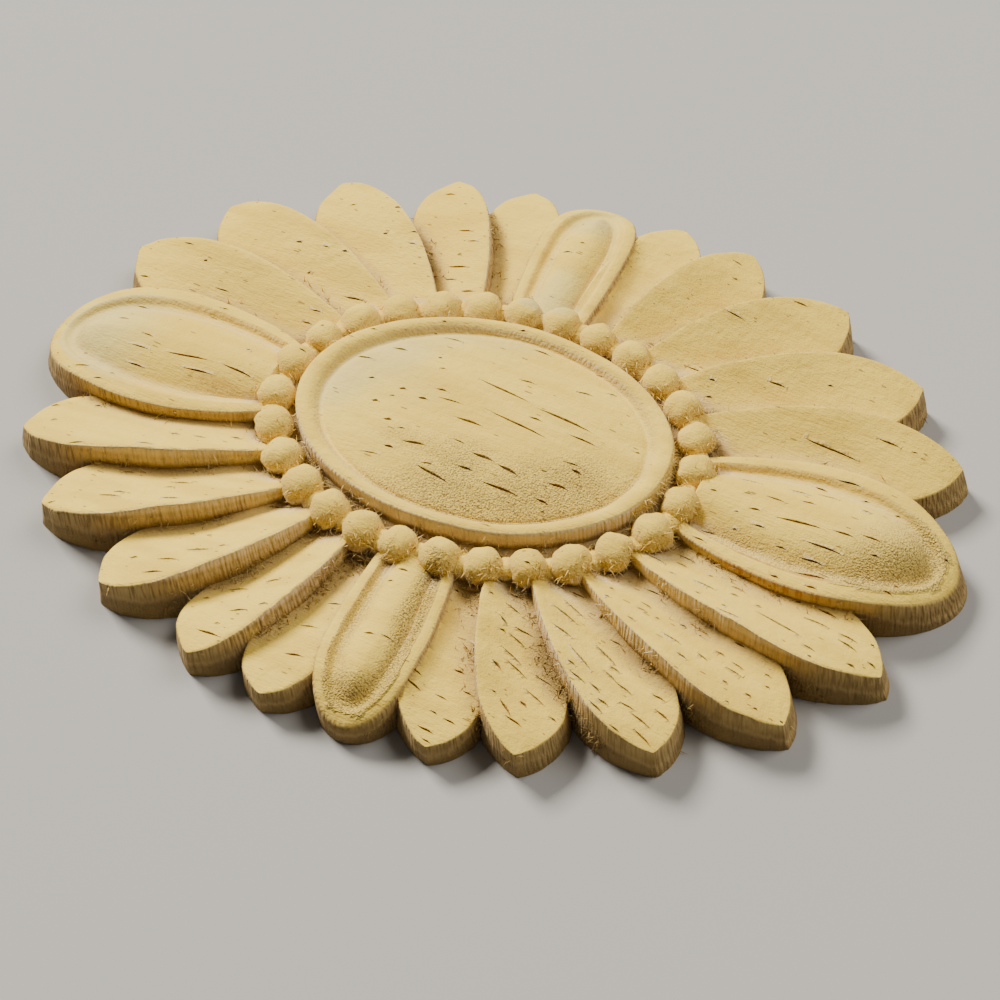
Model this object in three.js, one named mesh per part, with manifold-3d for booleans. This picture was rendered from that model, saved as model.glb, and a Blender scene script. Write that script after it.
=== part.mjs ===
// Oval flower rosette carved from one board: a domed centre inside a raised rim, a ring of
// beads, four spoon petals on the two axes and five pointed petals in each quarter between
// them. Millimetres. The flat back lies on z = 0, +X runs along the length and +Z faces the
// viewer of a hung applique. The origin is the middle of the back.

import * as THREE from 'three';
import { mergeVertices } from 'three/addons/utils/BufferGeometryUtils.js';
import Module from 'manifold-3d';

// Overall size of the carving. The walls at both ends of the length lean out by END_LEAN from
// their top edge to the back, and the high side of a petal leans over its neighbour's low side.
const LENGTH = 152.5;
const WIDTH = 108;
const THICKNESS = 12;
const END_LEAN = 1.25;
const SIDE_LEAN = 1.6;

// Raised centre: an oval rim round a shallow dome that reaches the full thickness.
const CENTRE_LENGTH = 60;
const CENTRE_WIDTH = 40.4;
const RIM_TOP = 11.4;
const RIM_SHARE = 0.86;
const RIM_GROOVE_DEPTH = 1.6;
const TROUGH_HEIGHT = 6.4;

// Bead ring, measured on the line through the bead centres.
const BEAD_RING_LENGTH = 67;
const BEAD_RING_WIDTH = 48.5;
const BEAD_COUNT = 28;
const BEAD_DIAMETER = 6.5;
const BEAD_TOP = 11.1;

// Spoon petals: two broad ones along X and two narrow ones along Y.
const SPOON_RIM_DROP = 4.2;
const SPOONS = {
  broad: { width: 23.6, rimTop: 8.5, rimBand: 2.6, widest: 0.5, rootShare: 0.6, roundness: 2 },
  narrow: { width: 15, rimTop: 8.1, rimBand: 1.8, widest: 0.58, rootShare: 0.8, roundness: 2.4 },
};
const SPOON_GROOVE_WIDTH = 1.6;
const SPOON_GROOVE_DEPTH = 0.8;
const SPOON_CROWN = 0.7;

// Pointed petals of one quarter, from the broad spoon to the narrow one. The angles are ellipse
// angles in degrees. Low and high are how far each side bulges from the line root to tip, spine
// and end are heights along that line, and tilt is the slope of the top from low to high side.
const PETALS = [
  { tip: 21.9, root: 26.4, low: 7.7, high: 6.1, spine: 7.1, tilt: 0.47, end: 5.1 },
  { tip: 37.7, root: 42.5, low: 7.8, high: 6.0, spine: 7.1, tilt: 0.47, end: 5.6 },
  { tip: 54.2, root: 55.0, low: 7.8, high: 6.1, spine: 7.1, tilt: 0.47, end: 5.8 },
  { tip: 69.9, root: 67.3, low: 8.0, high: 4.9, spine: 7.0, tilt: 0.47, end: 5.8 },
  { tip: 79.9, root: 79.6, low: 7.2, high: 6.0, spine: 5.8, tilt: 0.2, end: 4.8 },
];
const PETAL_ROOT_SHARE = 0.55;
const PETAL_TIP_WIDTH = 0.5;

// Facets along and across one pointed petal, and round the ovals.
const PETAL_FACETS = { along: 9, across: 3 };
const SPOON_FACETS = 34;
const CENTRE_FACETS = 64;
const BEAD_FACETS = { around: 8, down: 6 };

// How much longer the outline is on the back than along the top edges.
const BACK_STRETCH = LENGTH / (LENGTH - 2 * END_LEAN);

const wasm = await Module();
wasm.setup();

/** A closed solid of a three.js geometry, turned right side out if it was mirrored. */
function solid(geometry) {
  const bare = geometry.clone();
  bare.deleteAttribute('normal');
  bare.deleteAttribute('uv');
  const merged = mergeVertices(bare, 1e-4);
  const points = merged.getAttribute('position');
  const corners = [];
  let volume = 0;
  const a = new THREE.Vector3();
  const b = new THREE.Vector3();
  const c = new THREE.Vector3();
  for (let i = 0; i < merged.index.count; i += 3) {
    const [p, q, r] = [0, 1, 2].map((k) => merged.index.getX(i + k));
    if (p !== q && q !== r && r !== p) {
      corners.push([p, q, r]);
      a.fromBufferAttribute(points, p);
      b.fromBufferAttribute(points, q);
      c.fromBufferAttribute(points, r);
      volume += a.dot(b.cross(c));
    }
  }
  const outward = volume < 0 ? corners.map(([p, q, r]) => [p, r, q]) : corners;
  return new wasm.Manifold(new wasm.Mesh({
    numProp: 3,
    vertProperties: new Float32Array(points.array),
    triVerts: new Uint32Array(outward.flat()),
  }));
}

/** Move every point of a geometry by a function of its place. */
function reshape(geometry, place) {
  const points = geometry.getAttribute('position');
  const point = new THREE.Vector3();
  for (let i = 0; i < points.count; i += 1) {
    point.fromBufferAttribute(points, i);
    const moved = place(point);
    points.setXYZ(i, moved.x, moved.y, moved.z);
  }
  return geometry;
}

/** Point of an oval with the given length and width, at an ellipse angle in degrees. */
function ovalPoint(length, width, degrees) {
  const angle = THREE.MathUtils.degToRad(degrees);
  return new THREE.Vector2(length / 2 * Math.cos(angle), width / 2 * Math.sin(angle));
}

/** Share of the widest breadth at a share u of the length, rounded off towards the tip. */
function breadthShare(u, rootShare, widest, inner, outer) {
  if (u < widest) {
    return 1 - (1 - rootShare) * ((widest - u) / widest) ** 2;
  }
  return (1 - Math.min(1, (u - widest) / (1 - widest)) ** inner) ** outer;
}

/** One pointed petal: a bar bent to the two sides of the petal, its top tilted across. */
function petalBody(petal) {
  const tip = ovalPoint(LENGTH - 2 * END_LEAN, WIDTH, petal.tip);
  const root = ovalPoint(BEAD_RING_LENGTH, BEAD_RING_WIDTH, petal.root);
  const axis = tip.clone().sub(root);
  const across = new THREE.Vector2(-axis.y, axis.x).normalize();
  const bar = new THREE.BoxGeometry(1, 2, 1, PETAL_FACETS.along, PETAL_FACETS.across, 1);
  return reshape(bar, (point) => {
    const u = Math.sin((point.x + 0.5) * Math.PI / 2);
    const towardTip = Math.max(0, 2 * u - 1);
    const onBack = point.z < 0;
    const lean = onBack ? SIDE_LEAN * (1 - towardTip ** 2) : 0;
    const high = petal.high * breadthShare(u, PETAL_ROOT_SHARE, 0.5, 3, 1) + lean;
    const low = petal.low * breadthShare(u, PETAL_ROOT_SHARE, 0.6, 3.5, 1);
    const side = point.y * Math.max(PETAL_TIP_WIDTH / 2, point.y > 0 ? high : low);
    const spine = petal.spine - (petal.spine - petal.end) * towardTip ** 4;
    const tilt = petal.tilt * (1 - 0.55 * Math.sin(towardTip * Math.PI / 2));
    return new THREE.Vector3(
      (root.x + axis.x * u + across.x * side) * (onBack ? BACK_STRETCH : 1),
      root.y + axis.y * u + across.y * side,
      onBack ? 0 : spine + side * tilt,
    );
  });
}

/** Half breadth and place along X of a spoon petal at a turn round its outline. */
function spoonPoint(spoon, start, end, inset, turn) {
  const u = (1 - Math.cos(turn)) / 2;
  const share = breadthShare(u, spoon.rootShare, spoon.widest, spoon.roundness, 0.5);
  const side = Math.abs(turn) < 1e-6 ? 0 : Math.sign(turn);
  const breadth = side * share * (spoon.width / 2 - inset);
  return new THREE.Vector2(start + inset + (end - start - 2 * inset) * u, breadth);
}

/** One spoon petal lying along +X: a flat band, a groove inside it and a long crown. */
function spoonBody(spoon, start, end, backStretch) {
  const groove = spoon.rimBand + SPOON_GROOVE_WIDTH;
  const half = spoon.width / 2;
  const rings = [
    { inset: 0, lift: 0 },
    { inset: spoon.rimBand, lift: 0 },
    { inset: (spoon.rimBand + groove) / 2, lift: -SPOON_GROOVE_DEPTH },
    { inset: groove, lift: 0 },
    { inset: (groove + half) / 2, lift: SPOON_CROWN * 0.75 },
  ];
  const profile = [new THREE.Vector2(0, 0), new THREE.Vector2(1, 0)];
  rings.forEach((ring, i) => profile.push(new THREE.Vector2(1, i + 1)));
  profile.push(new THREE.Vector2(0, rings.length + 1));
  const middle = (start + end) / 2;
  return reshape(new THREE.LatheGeometry(profile, SPOON_FACETS), (point) => {
    const row = Math.round(point.y);
    const onAxis = Math.hypot(point.x, point.z) < 1e-6;
    const ring = rings[Math.max(0, Math.min(row - 1, rings.length - 1))];
    const place = onAxis
      ? new THREE.Vector2(middle, 0)
      : spoonPoint(spoon, start, end, ring.inset, Math.atan2(point.x, point.z));
    const towardTip = Math.max(0, (place.x - middle) / (end - middle));
    const top = spoon.rimTop - SPOON_RIM_DROP * towardTip ** 3;
    const lift = onAxis ? SPOON_CROWN : ring.lift;
    const onBack = row === 0;
    return new THREE.Vector3(
      place.x * (onBack ? backStretch : 1),
      place.y,
      onBack ? 0 : top + lift,
    );
  });
}

/** The raised centre: outer wall, rounded rim, groove and dome, turned and drawn out oval. */
function centreBody() {
  const groove = RIM_TOP - RIM_GROOVE_DEPTH;
  const rim = 1 - RIM_SHARE;
  const section = [
    [0, 0],
    [1, 0],
    [1, RIM_TOP - 1.2],
    [1 - 0.15 * rim, RIM_TOP - 0.3],
    [1 - 0.35 * rim, RIM_TOP],
    [1 - 0.6 * rim, RIM_TOP - 0.3],
    [RIM_SHARE, groove],
  ];
  for (const share of [0.78, 0.62, 0.42, 0.2, 0]) {
    const fall = (share / RIM_SHARE) ** 2.4;
    section.push([share, THICKNESS - (THICKNESS - groove - 0.4) * fall]);
  }
  const profile = section.map(([share, height]) => new THREE.Vector2(share, height));
  const turned = new THREE.LatheGeometry(profile, CENTRE_FACETS);
  turned.rotateX(Math.PI / 2);
  return turned.scale(CENTRE_LENGTH / 2, CENTRE_WIDTH / 2, 1);
}

/** The ground under the beads and the petal roots, as high as the trough round the rim. */
function groundBody() {
  const disc = new THREE.CylinderGeometry(1, 1, TROUGH_HEIGHT, CENTRE_FACETS);
  disc.rotateX(Math.PI / 2);
  disc.scale((BEAD_RING_LENGTH + BEAD_DIAMETER) / 2, (BEAD_RING_WIDTH + BEAD_DIAMETER) / 2, 1);
  return disc.translate(0, 0, TROUGH_HEIGHT / 2);
}

/** Ellipse angles, in degrees, that part an oval into equal lengths, half a step from +X. */
function evenAngles(length, width, count) {
  const steps = 1440;
  const along = [0];
  for (let i = 1; i <= steps; i += 1) {
    const from = ovalPoint(length, width, (i - 1) * 360 / steps);
    along.push(along[i - 1] + from.distanceTo(ovalPoint(length, width, i * 360 / steps)));
  }
  return Array.from({ length: count }, (_, k) => {
    const target = along[steps] * (k + 0.5) / count;
    return along.findIndex((reached) => reached >= target) * 360 / steps;
  });
}

/** One bead of the ring, a ball sunk into the ground. */
function beadBody(degrees) {
  const centre = ovalPoint(BEAD_RING_LENGTH, BEAD_RING_WIDTH, degrees);
  const ball = new THREE.SphereGeometry(BEAD_DIAMETER / 2, BEAD_FACETS.around, BEAD_FACETS.down);
  ball.rotateX(Math.PI / 2);
  return ball.translate(centre.x, centre.y, BEAD_TOP - BEAD_DIAMETER / 2);
}

const bodies = [groundBody(), centreBody()];
for (const side of [1, -1]) {
  const broadEnd = LENGTH / 2 - END_LEAN;
  const broad = spoonBody(SPOONS.broad, BEAD_RING_LENGTH / 2, broadEnd, BACK_STRETCH);
  bodies.push(broad.scale(side, 1, 1));
  const narrow = spoonBody(SPOONS.narrow, BEAD_RING_WIDTH / 2, WIDTH / 2, 1);
  bodies.push(narrow.rotateZ(side * Math.PI / 2));
  for (const end of [1, -1]) {
    PETALS.forEach((petal) => bodies.push(petalBody(petal).scale(side, end, 1)));
  }
}
for (const degrees of evenAngles(BEAD_RING_LENGTH, BEAD_RING_WIDTH, BEAD_COUNT)) {
  bodies.push(beadBody(degrees));
}

const joined = bodies.map(solid).reduce((whole, body) => whole.add(body)).getMesh();
const geometry = new THREE.BufferGeometry();
geometry.setAttribute('position', new THREE.BufferAttribute(joined.vertProperties, 3));
geometry.setIndex(new THREE.BufferAttribute(joined.triVerts, 1));
geometry.computeVertexNormals();

const applique = new THREE.Mesh(geometry, new THREE.MeshStandardMaterial({ color: 0xdcc795 }));
applique.name = 'applique';

const rosette = new THREE.Group();
rosette.name = 'carved_applique';
rosette.add(applique);

export default rosette;
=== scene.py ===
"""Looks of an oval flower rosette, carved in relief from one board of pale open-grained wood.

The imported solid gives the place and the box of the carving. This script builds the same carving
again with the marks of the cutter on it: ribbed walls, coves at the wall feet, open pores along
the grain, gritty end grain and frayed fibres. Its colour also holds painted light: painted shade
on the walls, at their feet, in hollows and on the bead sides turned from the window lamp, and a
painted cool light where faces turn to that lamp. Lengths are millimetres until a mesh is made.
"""

import itertools
import logging
import math
from dataclasses import dataclass, field
from enum import Enum
from typing import Any, Callable, Iterable, Sequence

import bmesh
import bpy
import numpy as np
from mathutils import Matrix, Vector
from mathutils.bvhtree import BVHTree


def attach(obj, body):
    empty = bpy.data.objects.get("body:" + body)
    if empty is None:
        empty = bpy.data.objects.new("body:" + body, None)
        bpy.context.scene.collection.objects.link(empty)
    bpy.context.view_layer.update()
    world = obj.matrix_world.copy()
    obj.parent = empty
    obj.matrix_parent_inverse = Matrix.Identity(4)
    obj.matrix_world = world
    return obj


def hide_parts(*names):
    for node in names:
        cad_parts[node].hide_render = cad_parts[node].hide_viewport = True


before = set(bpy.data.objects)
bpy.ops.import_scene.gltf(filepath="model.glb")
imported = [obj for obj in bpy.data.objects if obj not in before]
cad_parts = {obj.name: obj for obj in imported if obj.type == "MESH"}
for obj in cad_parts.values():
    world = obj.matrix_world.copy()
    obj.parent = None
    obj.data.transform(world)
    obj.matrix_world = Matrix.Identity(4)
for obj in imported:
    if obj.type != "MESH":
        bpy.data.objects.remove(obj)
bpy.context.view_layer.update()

Array = np.ndarray
Colour = tuple[float, float, float, float]
Triple = tuple[float, float, float]
log = logging.getLogger("rosette")

MM = 0.001
LENGTH = 152.5
WIDTH = 108.0
THICKNESS = 12.0
END_LEAN = 1.25
SIDE_LEAN = 1.6
TOP_LENGTH = LENGTH - 2 * END_LEAN
BACK_STRETCH = LENGTH / TOP_LENGTH
RING_LENGTH = 67.0
RING_WIDTH = 48.5
GRAIN_TURN = math.radians(-7.0)

# Pitch, seed and reach of the slow, quick and fine waver that a hand-held cutter leaves.
WAVERS = ((9.0, 11, 0.16), (2.6, 21, 0.05), ((1.7, 0.8, 0.8), 31, 0.025))
SHARP_ANGLE = math.radians(38)


class Side(Enum):
    """The two groups of bodies that never touch a body of their own group."""

    EVEN = 0
    ODD = 1


def lattice_noise(points: Array, pitch: float | Sequence[float], seed: int) -> Array:
    """Smooth noise in space.

    Args:
        points: Places in millimetres, one row each.
        pitch: Distance between the knots of the noise, one number or one for each axis.
        seed: Which noise, so that two fields differ.

    Returns:
        One value from -1 to 1 for each place.
    """
    cell = points / np.asarray(pitch, float)
    base = np.floor(cell).astype(np.int64)
    part = cell - base
    part = part * part * (3 - 2 * part)
    total = np.zeros(len(points))
    for corner in itertools.product((0, 1), repeat=3):
        knot = base + np.array(corner)
        mixed = knot[:, 0] * 73856093 ^ knot[:, 1] * 19349663 ^ knot[:, 2] * 83492791
        mixed = mixed + seed * 2654435761
        mixed = (mixed ^ (mixed >> 13)) * 1274126177
        mixed = (mixed ^ (mixed >> 16)) & 0x7FFFFFFF
        weight = np.prod(np.where(corner, part, 1 - part), axis=1)
        total += weight * (mixed / 0x7FFFFFFF * 2 - 1)
    return total


def smoothstep(low: float, high: float, value: Array) -> Array:
    """Rise from 0 at low to 1 at high, level at both ends."""
    share = np.clip((value - low) / (high - low), 0, 1)
    return share * share * (3 - 2 * share)


def breadth_share(u: Array, root: float, widest: float, inner: float, outer: float) -> Array:
    """Share of a petal's widest breadth along its length.

    Args:
        u: Share of the length, 0 at the root and 1 at the tip.
        root: Share of the breadth that the root has.
        widest: Where along the length the petal is widest.
        inner: How long the outline stays wide towards the tip.
        outer: How round the tip is, 1 for a point and 0.5 for a round end.

    Returns:
        The share of the widest breadth at each u.
    """
    before = 1 - (1 - root) * ((widest - u) / widest) ** 2
    past = np.clip((u - widest) / (1 - widest), 0, 1)
    return np.where(u < widest, before, np.clip(1 - past ** inner, 0, 1) ** outer)


def oval_point(length: float, width: float, degrees: float) -> Array:
    """Point of an oval of that length and width, at an ellipse angle."""
    angle = math.radians(degrees)
    return np.array([length / 2 * math.cos(angle), width / 2 * math.sin(angle)])


@dataclass
class Body:
    """A closed body as points in millimetres and the corners of its faces."""

    points: Array
    faces: list[tuple[int, ...]]

    def scaled(self, x: float, y: float) -> "Body":
        """The body mirrored or stretched in plan."""
        return Body(self.points * np.array([x, y, 1.0]), self.faces)

    def turned(self, degrees: float) -> "Body":
        """The body turned about the upright axis."""
        c, s = math.cos(math.radians(degrees)), math.sin(math.radians(degrees))
        return Body(self.points @ np.array([[c, s, 0], [-s, c, 0], [0, 0, 1]]), self.faces)

    def outward(self) -> "Body":
        """The body with its faces pointing outwards."""
        volume = 0.0
        for face in self.faces:
            first = self.points[face[0]]
            for i in range(1, len(face) - 1):
                volume += first @ np.cross(self.points[face[i]], self.points[face[i + 1]])
        return self if volume >= 0 else Body(self.points, [face[::-1] for face in self.faces])


def lofted(rings: Array, ladder_cap: bool = True) -> Body:
    """Closed body through a row of closed rings.

    Args:
        rings: Array of rings, points in a ring and three coordinates.
        ladder_cap: Whether a ladder of faces closes the last ring across its long way, or else
            one face.

    Returns:
        The body.
    """
    rows, columns = rings.shape[:2]
    faces: list[tuple[int, ...]] = []
    for r in range(rows - 1):
        for c in range(columns):
            d = (c + 1) % columns
            a, b = r * columns, (r + 1) * columns
            faces.append((a + c, a + d, b + d, b + c))
    faces.append(tuple(range(columns - 1, -1, -1)))
    last = (rows - 1) * columns
    faces.extend(ladder(last, columns) if ladder_cap else [tuple(range(last, last + columns))])
    return Body(rings.reshape(-1, 3), faces)


def ladder(start: int, count: int) -> list[tuple[int, ...]]:
    """Faces across a narrow ring of an even number of points, from its first to its middle."""
    half, end = count // 2, start + count
    rungs = [(start + i, start + i + 1, end - i - 1, end - i) for i in range(1, half - 1)]
    return [(start, start + 1, end - 1), *rungs, (start + half - 1, start + half, start + half + 1)]


def oval_stack(length: float, width: float, around: int,
               rows: Iterable[tuple[float, float]]) -> Body:
    """Closed body through level oval rings.

    Args:
        length: Length of the whole oval.
        width: Width of the whole oval.
        around: Points round each ring.
        rows: Share of the whole oval and height of each ring, from the foot in.

    Returns:
        The body.
    """
    turn = np.linspace(0, 2 * np.pi, around, endpoint=False)
    rings = []
    for share, height in rows:
        x, y = length / 2 * share * np.cos(turn), width / 2 * share * np.sin(turn)
        rings.append(np.column_stack([x, y, np.full_like(x, height)]))
    return lofted(np.array(rings))


def joined(bodies: Iterable[Body]) -> Body:
    """Bodies that don't touch, as one."""
    points, faces, start = [], [], 0
    for body in bodies:
        points.append(body.points)
        faces.extend(tuple(i + start for i in face) for face in body.faces)
        start += len(body.points)
    return Body(np.concatenate(points), faces)


def link(name: str, data: Any) -> bpy.types.Object:
    """A Blender object of a mesh, lamp or camera, linked to the scene."""
    made = bpy.data.objects.new(name, data)
    bpy.context.scene.collection.objects.link(made)
    return made


def mesh_object(name: str, body: Body) -> bpy.types.Object:
    """A Blender object of a body, in metres."""
    mesh = bpy.data.meshes.new(name)
    mesh.from_pydata((body.points * MM).tolist(), [], body.faces)
    return link(name, mesh)


def places_of(mesh: bpy.types.Mesh) -> Array:
    """Places of a mesh's points, in metres."""
    places = np.empty(len(mesh.vertices) * 3)
    mesh.vertices.foreach_get("co", places)
    return places.reshape(-1, 3)


def write_mark(mesh: bpy.types.Mesh, name: str, values: Array | Sequence[float],
               domain: str = "POINT") -> None:
    """Write one number for each point or face of a mesh as a named attribute."""
    mark = mesh.attributes.get(name) or mesh.attributes.new(name, "FLOAT", domain)
    mark.data.foreach_set("value", np.asarray(values, np.float32))


def triangles(mesh: bpy.types.Mesh) -> int:
    """Number of triangles of a mesh."""
    return sum(len(face.vertices) - 2 for face in mesh.polygons)


def kept_inside(mesh: bpy.types.Mesh) -> None:
    """Move points that stand outside the box of the carving onto its sides."""
    half = np.array([LENGTH / 2, WIDTH / 2, THICKNESS]) * MM
    places = np.clip(places_of(mesh), [-half[0], -half[1], 0], half)
    mesh.vertices.foreach_set("co", places.ravel())
    mesh.update()


def turn_outward(mesh: bpy.types.Mesh) -> None:
    """Turn the faces of a closed mesh outwards if its volume comes out below zero."""
    mesh.calc_loop_triangles()
    corners = np.empty(len(mesh.loop_triangles) * 3, dtype=np.int32)
    mesh.loop_triangles.foreach_get("vertices", corners)
    a, b, c = places_of(mesh)[corners.reshape(-1, 3)].transpose(1, 0, 2)
    if np.einsum("ij,ij->", a, np.cross(b, c)) < 0:
        mesh.flip_normals()


def handled(points: Array) -> Array:
    """Points moved as an unsteady cutter and coarse wood would leave them.

    Args:
        points: Places in millimetres of a true surface.

    Returns:
        The places moved a little, with the flat back kept flat.
    """
    free = smoothstep(0.0, 1.2, points[:, 2])
    moved = points.copy()
    for axis in range(3):
        push = sum(lattice_noise(points, pitch, seed + axis) * reach
                   for pitch, seed, reach in WAVERS)
        moved[:, axis] += push * (free if axis == 2 else 0.35 + 0.65 * free)
    return np.clip(moved, (-LENGTH / 2, -WIDTH / 2, 0), (LENGTH / 2, WIDTH / 2, THICKNESS))


class Wiring:
    """Adds and joins the nodes of one tree."""

    def __init__(self, tree: bpy.types.NodeTree) -> None:
        """Start on an empty tree."""
        self.tree = tree
        tree.nodes.clear()

    def add(self, kind: str, values: dict[Any, Any] | None = None, **settings: Any) -> Any:
        """Add a node.

        Args:
            kind: Blender's name of the node type.
            values: What goes into each input, by name or place: a plain value, a socket or
                a list of sockets.
            settings: Properties of the node, set before its inputs.

        Returns:
            The node.
        """
        node = self.tree.nodes.new(kind)
        for name, value in settings.items():
            setattr(node, name, value)
        for key, value in (values or {}).items():
            sockets = value if isinstance(value, list) else [value]
            if isinstance(sockets[0], bpy.types.NodeSocket):
                for socket in sockets:
                    self.tree.links.new(socket, node.inputs[key])
            else:
                node.inputs[key].default_value = value
        return node

    def math(self, operation: str, a: Any, b: Any = 0.0, c: Any = 0.0) -> Any:
        """Result of a sum of one to three numbers or sockets."""
        return self.add("ShaderNodeMath", {0: a, 1: b, 2: c}, operation=operation).outputs[0]

    def vector(self, operation: str, a: Any, b: Any) -> Any:
        """Result of a vector sum of two vectors or sockets."""
        values = {0: a, "Scale" if operation == "SCALE" else 1: b}
        return self.add("ShaderNodeVectorMath", values, operation=operation).outputs[0]

    def ramp(self, value: Any, low: float, high: float, bottom: float = 0, top: float = 1) -> Any:
        """Smooth rise of a value from bottom to top as it goes from low to high."""
        values = {"Value": value, "From Min": low, "From Max": high,
                  "To Min": bottom, "To Max": top}
        return self.add("ShaderNodeMapRange", values, interpolation_type="SMOOTHSTEP").outputs[0]

    def mix(self, share: Any, a: Any, b: Any) -> Any:
        """Colour mixed from a to b by a share."""
        return self.add("ShaderNodeMix", {"Factor": share, 6: a, 7: b}, data_type="RGBA").outputs[2]


class ShapeTree(Wiring):
    """A tree of geometry nodes with named inputs, ending in real faces with a finish."""

    def __init__(self, name: str, **inputs: str) -> None:
        """Make the tree and its inputs.

        Args:
            name: Name of the tree.
            inputs: Kind of each named input after the geometry, with _ for a space in its name.
        """
        super().__init__(bpy.data.node_groups.new(name, "GeometryNodeTree"))
        face = self.tree.interface
        face.new_socket("Geometry", in_out="INPUT", socket_type="NodeSocketGeometry")
        self.keys = {}
        for label, kind in inputs.items():
            title = label.replace("_", " ")
            made = face.new_socket(title, in_out="INPUT", socket_type="NodeSocket" + kind)
            self.keys[title] = made.identifier
        face.new_socket("Geometry", in_out="OUTPUT", socket_type="NodeSocketGeometry")
        self.given = self.tree.nodes.new("NodeGroupInput").outputs

    def body_of(self, label: str) -> Any:
        """Geometry of the object given to an input, in the shared frame."""
        values = {"Object": self.given[label]}
        info = self.add("GeometryNodeObjectInfo", values, transform_space="RELATIVE")
        return info.outputs["Geometry"]

    def attribute(self, name: str, kind: str = "FLOAT") -> Any:
        """Value of a named attribute."""
        found = self.add("GeometryNodeInputNamedAttribute", {"Name": name}, data_type=kind)
        return found.outputs[0]

    def chance(self, low: Any, high: Any, seed: Any, kind: str = "FLOAT") -> Any:
        """A random number or vector between two for each point."""
        first, place = (0, 0) if kind == "FLOAT_VECTOR" else (2, 1)
        values = {first: low, first + 1: high, "Seed": seed}
        return self.add("FunctionNodeRandomValue", values, data_type=kind).outputs[place]

    def copies(self, points: Any, shape: Any, rotation: Any, scale: Any) -> Any:
        """Real copies of a shape on points."""
        placed = self.add("GeometryNodeInstanceOnPoints", {
            "Points": points, "Instance": shape, "Rotation": rotation, "Scale": scale})
        return self.add("GeometryNodeRealizeInstances", {"Geometry": placed.outputs[0]}).outputs[0]

    def close(self, shape: Any, material: bpy.types.Material) -> None:
        """Realize instances, set the finish and join the result to the tree's output."""
        real = self.add("GeometryNodeRealizeInstances", {"Geometry": shape}).outputs[0]
        done = self.add("GeometryNodeSetMaterial", {"Geometry": real, "Material": material})
        self.tree.links.new(done.outputs[0], self.tree.nodes.new("NodeGroupOutput").inputs[0])

    def bake(self, carrier: bpy.types.Object, values: dict[str, Any]) -> bpy.types.Mesh:
        """Run the tree on an object.

        Args:
            carrier: The object whose mesh is the tree's geometry input.
            values: What each named input holds.

        Returns:
            The result as a plain mesh. The modifier is gone from the carrier again.
        """
        modifier = carrier.modifiers.new(self.tree.name, "NODES")
        modifier.node_group = self.tree
        for label, value in values.items():
            modifier[self.keys[label]] = value
        graph = bpy.context.evaluated_depsgraph_get()
        graph.update()
        mesh = bpy.data.meshes.new_from_object(carrier.evaluated_get(graph), depsgraph=graph)
        carrier.modifiers.remove(modifier)
        return mesh


class WoodNodes(Wiring):
    """Nodes of the wood's finish, with the places and the large noises that its parts share."""

    def __init__(self, tree: bpy.types.NodeTree) -> None:
        """Start with places in millimetres, across and along the grain."""
        super().__init__(tree)
        self.place = self.vector("SCALE", self.add("ShaderNodeTexCoord").outputs["Object"], 1 / MM)
        values = {"Vector": self.place, "Rotation": (0, 0, -GRAIN_TURN)}
        self.along = self.add("ShaderNodeMapping", values).outputs[0]
        self.growth = self.noise(self.along, (0.03, 0.30, 0.30))
        self.patch = self.noise(self.place, (0.05, 0.06, 0.05))

    def mark(self, name: str) -> Any:
        """Value of one of the carving's own attributes."""
        return self.add("ShaderNodeAttribute", attribute_name=name).outputs["Fac"]

    def noise(self, place: Any, scale: Triple, detail: float = 1.0) -> Any:
        """Noise stretched by a scale for each axis, in knots a millimetre."""
        values = {"Vector": self.vector("MULTIPLY", place, scale), "Scale": 1.0, "Detail": detail}
        return self.add("ShaderNodeTexNoise", values).outputs[0]


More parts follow.
